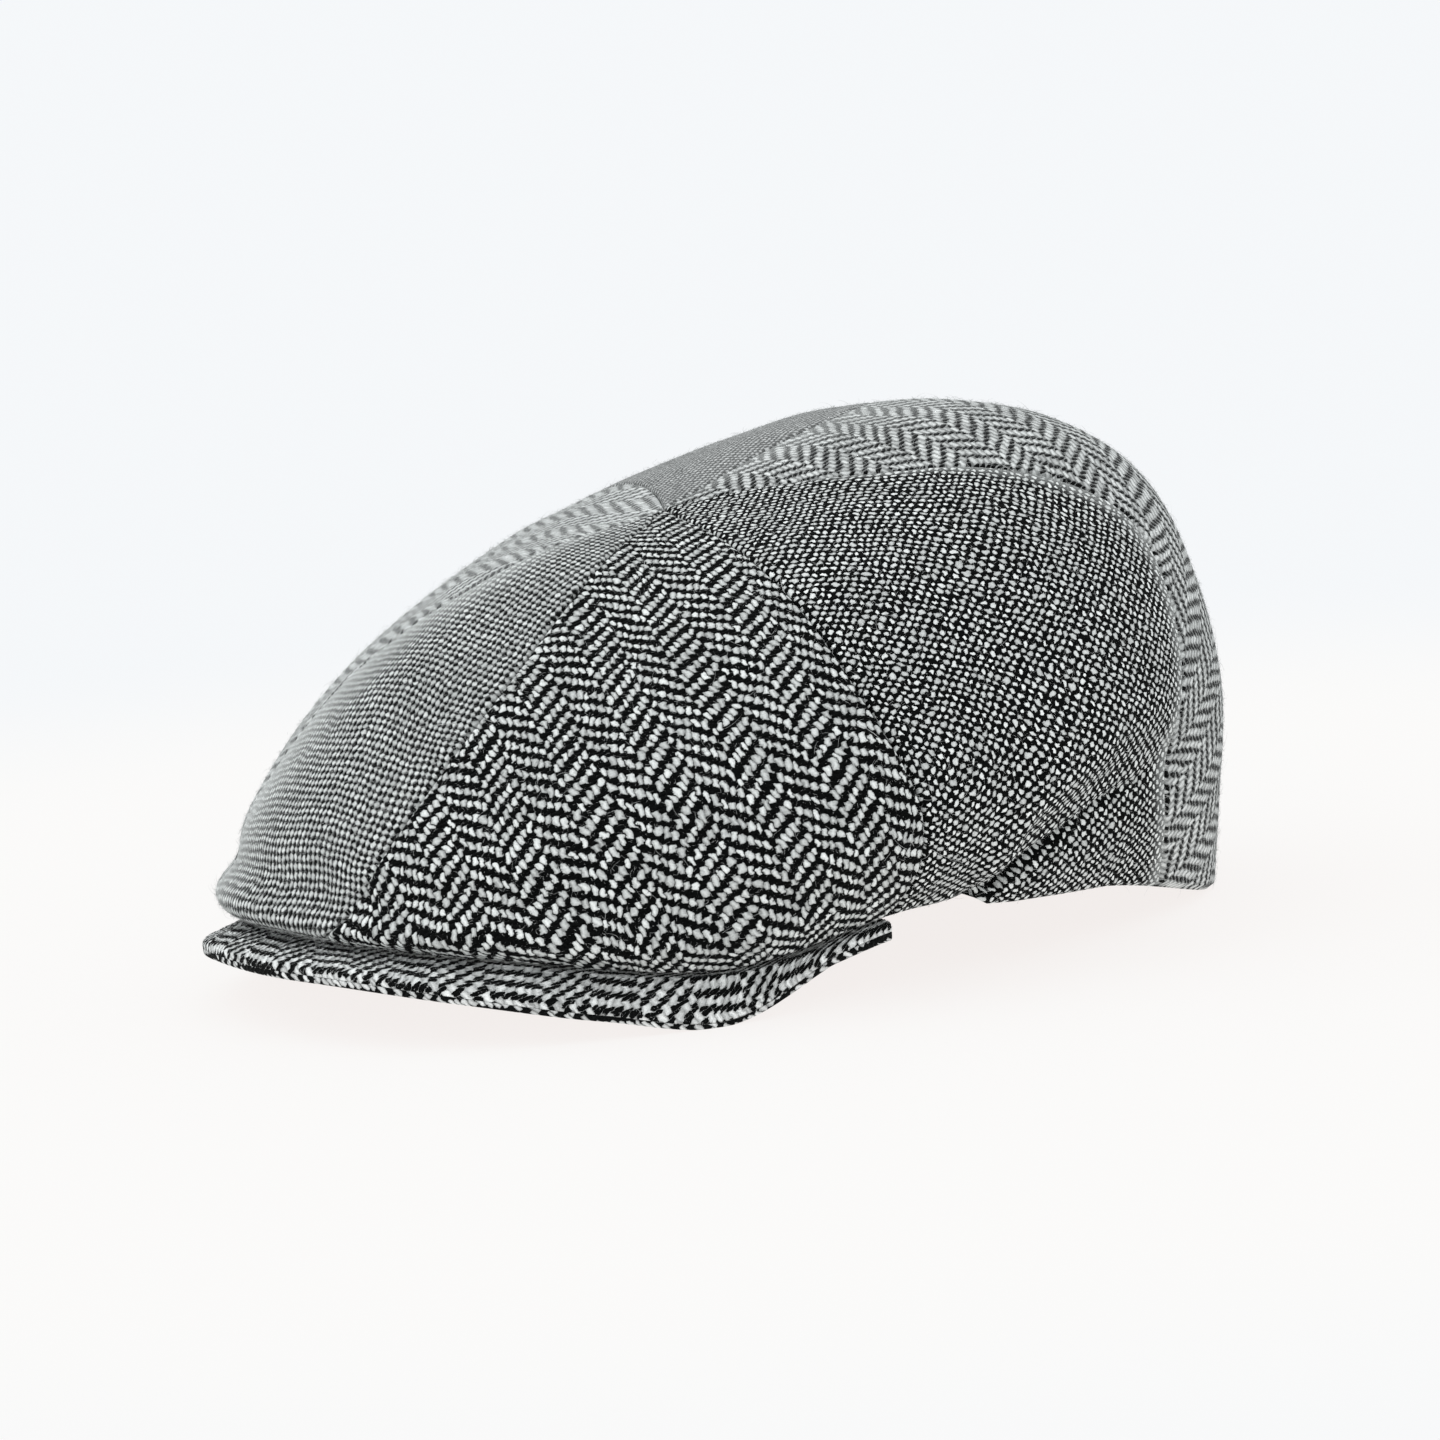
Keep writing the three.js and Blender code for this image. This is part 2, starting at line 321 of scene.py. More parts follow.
class NodeMaths:
    """The few functions that a weave needs, on values of a finish."""

    @staticmethod
    def floor(a: Value) -> Value:
        """Next whole number below."""
        return a.apply("FLOOR")

    @staticmethod
    def mod(a: Value, b: float) -> Value:
        """Remainder that is never negative."""
        return a.apply("FLOORED_MODULO", b)

    @staticmethod
    def under(a: Value, b: float) -> Value:
        """1 where a is less than b, and 0 elsewhere."""
        return a.apply("LESS_THAN", b)


@dataclass
class NodeBoard:
    """The node tree of one finish."""

    material: bpy.types.Material

    @classmethod
    def fresh(cls, name: str) -> "NodeBoard":
        """The board of a new material."""
        made = bpy.data.materials.new(name)
        made.use_nodes = True
        made.node_tree.nodes.clear()
        return cls(made)

    def node(self, kind: str, settings: Optional[dict[str, Any]] = None, **inputs: Any) -> Any:
        """Adds a node.

        Args:
            kind: the node's type name.
            settings: properties that are set before the sockets.
            inputs: values or links by socket name, with _ for a space, or by number as i0, i1.

        Returns:
            The new node.
        """
        made = self.material.node_tree.nodes.new(kind)
        for key, value in (settings or {}).items():
            setattr(made, key, value)
        for key, value in inputs.items():
            numbered = key[0] == "i" and key[1:].isdigit()
            socket = made.inputs[int(key[1:])] if numbered else made.inputs[key.replace("_", " ")]
            self.feed(socket, value)
        return made

    def skin(self, **inputs: Any) -> bpy.types.Material:
        """Ends the board in a surface with the given inputs, and gives its material."""
        made = self.node("ShaderNodeBsdfPrincipled", **inputs)
        self.node("ShaderNodeOutputMaterial", Surface=made.outputs[0])
        return self.material

    def feed(self, socket: Any, value: Any) -> None:
        """Links a value or an output to a socket, or sets it."""
        if isinstance(value, Value):
            value = value.socket
        if isinstance(value, bpy.types.NodeSocket):
            self.material.node_tree.links.new(value, socket)
        else:
            socket.default_value = value

    def maths(self, operation: str, *values: Any) -> Value:
        """A Math node on values or numbers."""
        sockets = {f"i{k}": v for k, v in enumerate(values)}
        return Value(self, self.node("ShaderNodeMath", {"operation": operation}, **sockets).outputs[0])

    def vector(self, operation: str, **inputs: Any) -> Any:
        """A Vector Math node."""
        return self.node("ShaderNodeVectorMath", {"operation": operation}, **inputs)

    def mix(self, share: Any, a: Any, b: Any) -> Any:
        """Colour between a and b."""
        made = self.node("ShaderNodeMix", {"data_type": "RGBA"}, i0=share, i6=a, i7=b)
        return made.outputs[2]

    def scaled(self, colour: Any, share: Any) -> Any:
        """Colour times a number."""
        return self.vector("SCALE", i0=colour, Scale=share).outputs[0]

    def noise(self, vector: Any, scale: float, detail: float = 2.0, rough: float = 0.5) -> Any:
        """A Noise Texture node on a vector."""
        return self.node("ShaderNodeTexNoise", {"noise_dimensions": "3D"},
                         Vector=vector, Scale=scale, Detail=detail, Roughness=rough)


def crossings(u: Any, v: Any, weave: Weave, ends: int, pinch: float, m: Any) -> tuple[Any, ...]:
    """Which yarn lies on top, and how it is rounded.

    The light yarn runs along v and the dark yarn along u, both counted in yarns.

    Args:
        u: place across the light yarns.
        v: place across the dark yarns.
        weave: how the yarns cross.
        ends: light yarns in one band of the herringbone.
        pinch: how much the light yarns narrow the ends of each dark loop.
        m: ArrayMaths or NodeMaths.

    Returns:
        1 where the light yarn is on top, the roundness of the light and of the dark yarn,
        and two numbers that tell one loop of light yarn from the next.
    """
    i, j = m.floor(u), m.floor(v)
    across_light = (u - i) * 2 - 1
    across_dark = (v - j) * 2 - 1
    if weave is Weave.PLAIN:
        light_up = m.under(m.mod(i + j, 2), 1)
        along_light, along_dark = across_dark, across_light
        loop = j
    else:
        band = m.floor(u / ends)
        odd = m.mod(band, 2)
        side = 1 - odd * 2
        step = odd * (ends + 1) - side * band * ends
        light_up = m.under(m.mod(j + side * i + step, 4), 2)
        along_light = m.mod(v + side * i + step, 4) - 1
        along_dark = m.mod(j + side * u + step + odd, 4) - 3
        loop = m.floor((v + side * i + step) / 4)

    def rounded(across: Any, along: Any, ends_in: float) -> Any:
        square = along * along
        return 1 - across * across - square * square * ends_in

    light = rounded(across_light, along_light, 0.55)
    return light_up, light, rounded(across_dark, along_dark, pinch), i, loop


def wander(u: Array, v: Array, length: float, depth: float, seed: int) -> Array:
    """Smooth seeded wander of a cloth's yarns.

    Args:
        u, v: places on the cloth, in metres.
        length: length of one wave, in metres.
        depth: how far it strays, in metres.
        seed: which wander.

    Returns:
        The wander at each place.
    """
    waves = 7
    rng = np.random.default_rng(seed)
    total = np.zeros_like(u)
    for _ in range(waves):
        turn, phase = rng.uniform(0, 2 * math.pi, 2)
        stretch = rng.uniform(0.7, 1.6) * 2 * math.pi / length
        total += np.sin((u * math.cos(turn) + v * math.sin(turn)) * stretch + phase)
    return total * depth / waves ** 0.5


@dataclass(frozen=True)
class Tweed:
    """One woven wool cloth. Pitches and bump are in millimetres, grain and lean in degrees."""

    name: str
    weave: Weave
    light_pitch: float
    dark_pitch: float
    light: tuple[float, float, float]
    dark: tuple[float, float, float] = (0.0018, 0.0022, 0.0022)
    ends: int = 8
    grain: float = 0.0
    lean: float = 0.0
    cover: float = -1.0
    gap: float = -2.0
    relief: float = 0.0
    bump: float = 0.35
    haze: float = 0.12
    # hollow is the brightness left where the weave's relief is lowest: painted shade at the yarns' edges
    # and in the grooves between them.
    hollow: float = 0.45
    sheen: float = 0.12
    pinch: float = 0.55
    uneven: float = 0.25
    stray: float = 0.9
    dark_sink: float = 0.35
    slow_wander: tuple[float, float] = (0.045, 0.0006)
    quick_wander: tuple[float, float] = (0.009, 0.00016)
    stray_scale: float = 700.0
    jitter: tuple[float, float] = (2600.0, 0.35)
    wool_scale: float = 2300.0
    cloud_scale: float = 55.0
    haze_colour: Row = (0.42, 0.44, 0.43, 1.0)
    sheen_colour: Row = (0.86, 0.9, 0.89, 1.0)
    seed: int = 1

    def lay(self, cloth: Array) -> Array:
        """Turns places on the cloth to its grain and lets its yarns wander a little."""
        turn = math.radians(self.grain)
        skewed = math.radians(self.grain + self.lean)
        u = cloth[..., 0] * math.cos(turn) - cloth[..., 1] * math.sin(turn)
        v = cloth[..., 0] * math.sin(skewed) + cloth[..., 1] * math.cos(skewed)
        slow = [wander(u, v, *self.slow_wander, self.seed + k) for k in (1, 2)]
        quick = [wander(u, v, *self.quick_wander, self.seed + k) for k in (3, 4)]
        return np.stack([u + slow[0] + quick[0], v + slow[1] + quick[1]], -1) + 0.5

    def height(self, cloth: Array) -> Array:
        """Height of the woven relief at places on the laid cloth, from about -1 to 1."""
        u = cloth[..., 0] / (self.light_pitch * MM)
        v = cloth[..., 1] / (self.dark_pitch * MM)
        light_up, light, dark, _, _ = crossings(u, v, self.weave, self.ends, self.pinch, ArrayMaths)
        return light_up * light + (1 - light_up) * (dark - self.dark_sink) - 0.3

    def moved(self, board: NodeBoard, cloth: Any) -> Any:
        """The cloth map with its yarns strayed and roughened."""
        moved = cloth
        for scale, depth in ((self.stray_scale / self.light_pitch, self.stray), self.jitter):
            stray = board.noise(cloth, scale, 1.0).outputs["Color"]
            stray = board.vector("SUBTRACT", i0=stray, i1=(0.5, 0.5, 0.5)).outputs[0]
            moved = board.vector("MULTIPLY_ADD", i0=stray, i1=(depth * self.light_pitch * MM,) * 3,
                                 i2=moved).outputs[0]
        return moved

    def material(self) -> bpy.types.Material:
        """The finish as a material that reads the piece's own cloth map and its painted sheen."""
        board = NodeBoard.fresh(self.name)
        cloth = board.node("ShaderNodeUVMap", {"uv_map": "cloth"}).outputs[0]
        part = board.node("ShaderNodeSeparateXYZ", Vector=self.moved(board, cloth))
        u = Value(board, part.outputs[0]) / (self.light_pitch * MM)
        v = Value(board, part.outputs[1]) / (self.dark_pitch * MM)
        light_up, light, dark, yarn, loop = crossings(u, v, self.weave, self.ends, self.pinch, NodeMaths)
        place = board.node("ShaderNodeCombineXYZ", X=yarn, Y=loop)
        chance = board.node("ShaderNodeTexWhiteNoise", {"noise_dimensions": "2D"}, Vector=place.outputs[0])
        chance = Value(board, chance.outputs[0])
        thin = self.gap + self.uneven * (chance - 0.5)
        light_shown = light_up * board.maths("GREATER_THAN", light, thin)
        dark_shown = (1 - light_up) * board.maths("GREATER_THAN", dark, self.cover)
        light_seen = board.maths("MAXIMUM", light_shown, (1 - light_up) - dark_shown)
        rise = light_up * light + (1 - light_up) * (dark - self.dark_sink)

        fine = Value(board, board.noise(cloth, self.wool_scale, 3.0, 0.7).outputs[0])
        cloud = Value(board, board.noise(cloth, self.cloud_scale, 3.0).outputs[0])
        # Painted shade: each yarn darkens towards its edges and into the grooves, down to hollow; chance,
        # fine and cloud add random tone of yarn and wool.
        hollow = self.hollow + (1 - self.hollow) * board.maths("MAXIMUM", rise, 0.0)
        tone_and_groove_shade = hollow * (0.74 + 0.4 * chance) * (0.55 + 0.9 * fine) * (0.8 + 0.4 * cloud)
        colour = board.mix(light_seen, board.scaled(self.dark, 0.4 + 1.2 * fine),
                           board.scaled(self.light, tone_and_groove_shade))
        hazy = board.maths("MULTIPLY", fine ** 4, self.haze * 8.0)
        colour = board.mix(board.maths("MINIMUM", hazy, 0.5), colour, self.haze_colour)
        # Painted sheen: a pale layer of light yarn colour over the weave, standing in for fuzz that catches
        # the light edge-on.
        painted_sheen = Value(board, board.node("ShaderNodeAttribute", {"attribute_name": "painted_sheen"}).outputs["Fac"])
        painted_sheen_amount = painted_sheen * (0.35 + 0.7 * cloud + 0.6 * fine)
        colour = board.mix(board.maths("MINIMUM", painted_sheen_amount, 0.9), colour,
                           board.scaled(self.light, 0.75 + 0.6 * fine))
        bump = board.node("ShaderNodeBump", Strength=0.9, Distance=self.bump * MM,
                          Height=rise + 0.5 * fine)
        return board.skin(Base_Color=colour, Roughness=0.92, Specular_IOR_Level=0.04,
                          Sheen_Weight=self.sheen, Sheen_Roughness=0.3,
                          Sheen_Tint=self.sheen_colour, Normal=bump.outputs[0])


def clear_selection() -> None:
    """Leaves edit mode and deselects everything."""
    if bpy.context.object and bpy.context.object.mode != "OBJECT":
        bpy.ops.object.mode_set(mode="OBJECT")
    bpy.ops.object.select_all(action="DESELECT")


def read(items: Any, name: str, width: int = 1, kind: type = np.int32) -> Array:
    """One property of every item of a collection."""
    values = np.empty(len(items) * width, kind)
    items.foreach_get(name, values)
    return values


def grid_object(name: str, points: Array) -> bpy.types.Object:
    """A grid primitive whose corners are moved to given points.

    Args:
        name: name of the new object.
        points: points in metres by row and column. Seen from outside, rows run down
            and columns run to the right.

    Returns:
        The new object, at the origin.
    """
    rows, columns = points.shape[:2]
    clear_selection()
    bpy.ops.mesh.primitive_grid_add(x_subdivisions=columns - 1, y_subdivisions=rows - 1, size=2)
    made = bpy.context.object
    made.name = made.data.name = name
    place = read(made.data.vertices, "co", 3, np.float64).reshape(-1, 3)
    column = np.rint((place[:, 0] + 1) / 2 * (columns - 1)).astype(int)
    row = np.rint((1 - place[:, 1]) / 2 * (rows - 1)).astype(int)
    made.data.vertices.foreach_set("co", points[row, column].ravel())
    order = made.data.attributes.new("order", "INT", "POINT")
    order.data.foreach_set("value", (row * columns + column).astype(np.int32))
    made.data.update()
    return made


def set_cloth_map(piece: bpy.types.Object, places: Array) -> None:
    """Writes the cloth map of a grid from places on the cloth by row and column, in metres."""
    data = piece.data
    order = read(data.attributes["order"].data, "value")
    corner = read(data.loops, "vertex_index")
    while data.uv_layers:
        data.uv_layers.remove(data.uv_layers[0])
    layer = data.uv_layers.new(name="cloth")
    flat = places.reshape(-1, 2)[order[corner]]
    layer.data.foreach_set("uv", flat.astype(np.float32).ravel())


def set_painted_sheen(piece: bpy.types.Object, values: Array) -> None:
    """Writes how much painted sheen hides the weave of a grid, by row and column: a pale layer for fuzz
    that catches the light edge-on.
    """
    order = read(piece.data.attributes["order"].data, "value")
    layer = piece.data.attributes.new("painted_sheen", "FLOAT", "POINT")
    layer.data.foreach_set("value", values.reshape(-1)[order].astype(np.float32))


def cell_areas(points: Array) -> Array:
    """Area of each cell of a grid of points."""
    falling = points[1:, 1:] - points[:-1, :-1]
    rising = points[1:, :-1] - points[:-1, 1:]
    return np.linalg.norm(np.cross(falling, rising), axis=-1) / 2


def normals_of(points: Array) -> Array:
    """Outward directions of a grid of points."""
    down = np.gradient(points, axis=0)
    right = np.gradient(points, axis=1)
    out = np.cross(down, right)
    return out / np.maximum(np.linalg.norm(out, axis=-1, keepdims=True), 1e-12)


def lengths_along(points: Array, axis: int) -> Array:
    """Length along a grid of points from its first row or column."""
    steps = np.linalg.norm(np.diff(points, axis=axis), axis=-1)
    pad = [(0, 0), (0, 0)]
    pad[axis] = (1, 0)
    return np.pad(np.cumsum(steps, axis=axis), pad)


def flattened(points: Array, coarse: tuple[int, int] = (44, 32)) -> Array:
    """Lays a grid of points flat, as the cloth was before it was sewn.

    Args:
        points: points in metres by row and column.
        coarse: rows and columns of the grid that is laid flat, and read in between.

    Returns:
        Places on the flat cloth in metres, with its middle at 0 and the top point upwards.
    """
    rows, columns = points.shape[:2]
    row = np.rint(np.linspace(0, rows - 1, coarse[0])).astype(int)
    column = np.rint(np.linspace(0, columns - 1, coarse[1])).astype(int)
    sparse = points[row][:, column]
    proxy = grid_object("flat_pattern", sparse)
    bpy.ops.object.mode_set(mode="EDIT")
    bpy.ops.mesh.select_all(action="SELECT")
    bpy.ops.uv.unwrap(method="ANGLE_BASED", margin=0)
    bpy.ops.object.mode_set(mode="OBJECT")
    data = proxy.data
    corner = read(data.loops, "vertex_index")
    laid = read(data.uv_layers.active.data, "uv", 2, np.float32)
    order = read(data.attributes["order"].data, "value")
    places = np.empty((coarse[0] * coarse[1], 2))
    places[order[corner]] = laid.reshape(-1, 2)
    places = places.reshape(*coarse, 2)
    bpy.data.objects.remove(proxy)

    falling, rising = places[1:, 1:] - places[:-1, :-1], places[1:, :-1] - places[:-1, 1:]
    signed = float((falling[..., 0] * rising[..., 1] - falling[..., 1] * rising[..., 0]).sum() / 2)
    if signed > 0:
        places[..., 0] *= -1
    places *= math.sqrt(float(cell_areas(sparse).sum()) / abs(signed))
    middle = places[:, coarse[1] // 2]
    places -= places.reshape(-1, 2).mean(0)
    down = middle[-1] - middle[0]
    turn = math.atan2(-down[0], -down[1])
    c, s = math.cos(turn), math.sin(turn)
    places = places @ np.array([[c, s], [-s, c]])

    def between(grid: Array, at: Array, count: int, axis: int) -> Array:
        return np.apply_along_axis(lambda line: np.interp(np.arange(count), at, line), axis, grid)

    return between(between(places, row, rows, 0), column, columns, 1)


def bridge(outer: bpy.types.Object, inner: bpy.types.Object, name: str) -> bpy.types.Object:
    """Joins an outer and an inner grid and closes the cloth between their borders."""
    clear_selection()
    inner.select_set(True)
    outer.select_set(True)
    bpy.context.view_layer.objects.active = outer
    bpy.ops.object.join()
    bpy.ops.object.mode_set(mode="EDIT")
    bpy.ops.mesh.select_mode(type="EDGE")
    bpy.ops.mesh.select_all(action="DESELECT")
    bpy.ops.mesh.select_non_manifold(extend=False, use_wire=False, use_boundary=True,
                                     use_multi_face=False, use_non_contiguous=False, use_verts=False)
    bpy.ops.mesh.bridge_edge_loops(type="SINGLE")
    bpy.ops.object.mode_set(mode="OBJECT")
    outer.name = outer.data.name = name
    return outer


@dataclass
class SewnPiece:
    """A piece of cloth with a finish, ready for the frame."""

    node: str
    finish: Tweed
    slot: str

    def dress(self, piece: bpy.types.Object, replaced: Iterable[str]) -> None:
        """Shades a piece, gives it its finish and ties it to the frame."""
        piece.data.materials.clear()
        piece.data.materials.append(self.finish.material())
        piece.data.shade_smooth()
        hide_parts(*replaced)
        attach(piece, "root")


@dataclass(frozen=True)
class Lip:
    """The rolled lip of the crown over the peak and the hollow above it, in millimetres."""

    roll: float = 1.3
    roll_height: float = 8.5
    roll_width: float = 4.2
    hollow: float = 1.9
    hollow_height: float = 17.5
    hollow_width: float = 5.5
    end_angle: float = 82.0
    fade: float = 26.0

    def rise(self, angle: Array, from_hem: Array) -> Array:
        """How far the lip stands out at plan angles and distances from the hem."""
        near = eased(np.clip((self.end_angle - from_front(angle)) / self.fade, 0, 1))
        roll = self.roll * ridge(from_hem - self.roll_height, self.roll_width)
        hollow = self.hollow * ridge(from_hem - self.hollow_height, self.hollow_width)
        return near * (roll - hollow)


@dataclass(frozen=True)
class Pleat:
    """The sharp fold that runs up and back from a notch in the hem, the same on each side."""

    depth: float = 3.6
    width: float = 1.7
    swell: float = 2.4
    swell_width: float = 3.4
    swell_above: float = 4.5
    slope_scale: float = 100.0
    angles: Row = (98.6, 99.6, 102, 105, 108.6, 112.3, 116.2, 124)
    shares: Row = (1.01, 0.978, 0.92, 0.873, 0.838, 0.807, 0.788, 0.76)
    fall_angles: Row = (95.5, 99, 103, 110, 122)
    fall: Row = (0, 1, 0.7, 0.5, 0)
    sag_angles: Row = (86, 93, 99, 101, 105, 112, 120)
    sag_depths: Row = (0, -0.3, -1.2, 1.4, 1.6, 1, 0)
    sag_start: float = 0.82

    def rise(self, angle: Array, share: Array, length: Array) -> Array:
        """How far the cloth stands out beside the fold, in millimetres.

        Args:
            angle: plan angles from the front, in degrees.
            share: shares of the way from the top point to the hem.
            length: lengths from the top point to the hem, in millimetres.

        Returns:
            Millimetres outwards, less than 0 in the fold.
        """
        side = from_front(angle)
        offset = (share - np.interp(side, self.angles, self.shares)) * length
        steep = np.gradient(np.array(self.shares), np.array(self.angles)) * self.slope_scale
        offset = offset / np.sqrt(1 + np.interp(side, self.angles, steep) ** 2)
        swell = self.swell * ridge(offset + self.swell_above, self.swell_width)
        fold = self.depth * ridge(offset, self.width)
        return np.interp(side, self.fall_angles, self.fall) * (swell - fold)

    def sag(self, angle: Array, share: Array) -> Array:
        """How far the hem hangs lower behind the notch, and less than 0 in front of it."""
        near = eased(np.clip((share - self.sag_start) / (1 - self.sag_start), 0, 1))
        return np.interp(from_front(angle), self.sag_angles, self.sag_depths) * near


@dataclass
class Gore(SewnPiece):
    """One gore of the crown, sewn to its neighbours and turned in at the hem, in millimetres."""

    right_seam: Row = ()
    left_seam: Row = ()
    rows: int = 240
    columns: int = 160
    fibres: int = 4000
    # Painted sheen at the right and at the left seam, a pale layer over the weave for fuzz that catches the
    # light edge-on, and the share of the width over which it changes.
    painted_sheen: tuple[float, float] = (0.0, 0.0)
    painted_sheen_reach: tuple[float, float] = (0.0, 1.0)
    form: CrownForm = field(default_factory=CrownForm)
    lip: Lip = Lip()
    pleat: Pleat = Pleat()
    inside_grid: tuple[int, int] = (64, 44)
    wall: float = 2.0
    hem_wall: float = 3.2
    hem_turn: float = 14.0
    hem_blend: float = 5.0
    seam_turn: float = 1.2
    inside_turn: float = 0.5
    hem_rise: float = 3.0
    hem_clear: float = 0.05
    calm_edge: float = 1.5
    ripple: tuple[float, float] = (0.03, 0.12)
    half_gap: float = 0.06
    tip: float = 0.45
    crowding: float = 0.5
    fuzz_to_strands: int = 12
    threads: int = 26
    thread_columns: int = 8

    def seam(self, angles: Row, share: Array) -> Array:
        """Plan angle of a seam at shares of the way from the top point to the hem."""
        values = np.array(angles, float)
        place = share * (len(values) - 1)
        index = np.clip(np.floor(place).astype(int), 0, len(values) - 2)
        at = [values[np.clip(index + k, 0, len(values) - 1)] for k in (-1, 0, 1, 2)]
        return self.form.blend(*at, place - index)

    def ends(self, share: Array) -> tuple[Array, Array]:
        """Plan angles of the right and the left seam, the left one always the greater."""
        first, last = self.seam(self.right_seam, share), self.seam(self.left_seam, share)
        return first, np.where(last < first, last + 360, last)

    def shares(self, rows: int) -> Array:
        """Shares of the rows, spaced evenly along the middle of the gore."""
        start = self.tip / self.form.half_width / self.form.shoulders[0] / self.form.spans
        fine = np.linspace(start, 1, 600)
        first, last = self.ends(fine)
        line = self.form.point((first + last) / 2, fine)
        length = np.concatenate([[0], np.cumsum(np.linalg.norm(np.diff(line, axis=0), axis=1))])
        return np.interp(np.linspace(0, length[-1], rows), length, fine)

    def surface(self, rows: int, columns: int) -> tuple[Array, Array, Array]:
        """Points, plan angles and shares of a smooth grid over the gore."""
        share = self.shares(rows)[:, None]
        first, last = self.ends(share)
        even = np.linspace(0, 1, columns)[None]
        part = even - self.crowding * np.sin(2 * math.pi * even) / (2 * math.pi)
        rough = self.form.point(first + (last - first) * part, share)
        gap = np.degrees(self.half_gap / np.hypot(rough[..., 0], rough[..., 1]))
        angle = first + gap + (last - first - 2 * gap) * part
        share = np.broadcast_to(share, angle.shape)
        return self.form.point(angle, share), angle, share

    def painted_sheen_amount(self) -> Array:
        """How much painted sheen hides the weave, from the gore's right seam to its left one: a pale layer
        for fuzz that catches the light edge-on.
        """
        first, last = self.painted_sheen_reach
        part = np.clip((np.linspace(0, 1, self.columns) - first) / (last - first), 0, 1)
        return self.painted_sheen[0] + (self.painted_sheen[1] - self.painted_sheen[0]) * eased(part)

    @staticmethod
    def turned(distance: Array, radius: float) -> Array:
        """How far cloth turns in at a distance from a seam or hem with a rounded edge."""
        part = np.clip(1 - distance / radius, 0, 1)
        return radius * (1 - np.sqrt(1 - part * part))

    def build(self, origin: Array) -> bpy.types.Object:
        """Builds the gore, its inside, its hem and its loose fibres.

        Args:
            origin: place of the crown's top point in the frame, in metres.

        Returns:
            The finished piece.
        """
        outer, angle, share = self.surface(self.rows, self.columns)
        direction = normals_of(outer)
        across = lengths_along(outer, 1)
        from_seam = np.minimum(across, across[:, -1:] - across)
        down = lengths_along(outer, 0)
        from_hem = down[-1:] - down
        flat = flattened(outer * MM)
        cloth = self.finish.lay(flat)
        calm = np.clip(np.minimum(from_seam, from_hem) / self.calm_edge, 0, 1)
        lift = self.finish.relief * self.finish.height(cloth) * calm
        lift += wander(cloth[..., 0], cloth[..., 1], *self.ripple, self.finish.seed + 5) * calm
        lift += self.lip.rise(angle, from_hem) - self.turned(from_seam, self.seam_turn)
        lift += self.pleat.rise(angle, share, down[-1:])
        shaped = outer + direction * lift[..., None]
        inward = self.turned(from_hem, self.hem_wall / 2)[..., None]
        shaped = shaped - direction * inward * np.array([1.0, 1.0, 0.0])
        shaped[..., 2] -= self.pleat.sag(angle, share)
        shell = grid_object(self.node + "_cloth", shaped * MM + origin)
        set_cloth_map(shell, cloth)
        set_painted_sheen(shell, np.broadcast_to(self.painted_sheen_amount()[None], cloth.shape[:2]))
        piece = bridge(shell, self.inside(origin), self.node + "_tweed")
        self.dress(piece, [self.node])
        area = float(cell_areas(outer).sum()) * MM ** 2
        self.comb(shaped * MM + origin, direction)
        return piece

    def inside(self, origin: Array) -> bpy.types.Object:
        """The gore's inside, thicker at the hem, with its rows and columns seen from within."""
        inner, angle, share = self.surface(*self.inside_grid)
        out = normals_of(inner)
        rise = lengths_along(inner, 0)
        fold = self.pleat.rise(angle, share, rise[-1:])
        rise = rise[-1:] - rise
        side = lengths_along(inner, 1)
        side = np.minimum(side, side[:, -1:] - side)
        above = eased(np.clip((rise - self.hem_turn + self.hem_blend) / self.hem_blend, 0, 1))
        thick = self.hem_wall + (self.wall - self.hem_wall) * above
        thick = thick - self.turned(side, self.inside_turn) * 0.5
        level = np.clip(rise / self.hem_rise, 0, 1)
        start = self.hem_wall / 2 + self.hem_clear
        thick = start + (thick - start) * np.sqrt(level)
        sunk = inner - out * (thick - fold)[..., None]
        sunk[-1, :, 2] = inner[-1, :, 2]
        sunk[..., 2] -= self.pleat.sag(angle, share)
        lining = grid_object(self.node + "_inside", (sunk * MM + origin)[:, ::-1])
        set_cloth_map(lining, self.finish.lay(flattened(inner * MM))[:, ::-1])
        return lining

    def comb(self, points: Array, direction: Array) -> None:
        """Lays loose fibres over the outside, and threads along the left seam."""
        seed = self.finish.seed
        Fibres(self.node + "_fuzz", self.slot, self.fibres, seed).build(points, direction)
        Fibres(self.node + "_strands", self.slot, self.fibres // self.fuzz_to_strands, seed + 1,
               steps=6, width=0.06, longest=5.0, rise=0.55).build(points, direction)
        near = slice(-self.thread_columns, None)
        Fibres(self.node + "_threads", self.slot, self.threads, seed + 2, steps=12,
               width=0.13, longest=14.0, rise=0.12).build(points[:, near], direction[:, near])


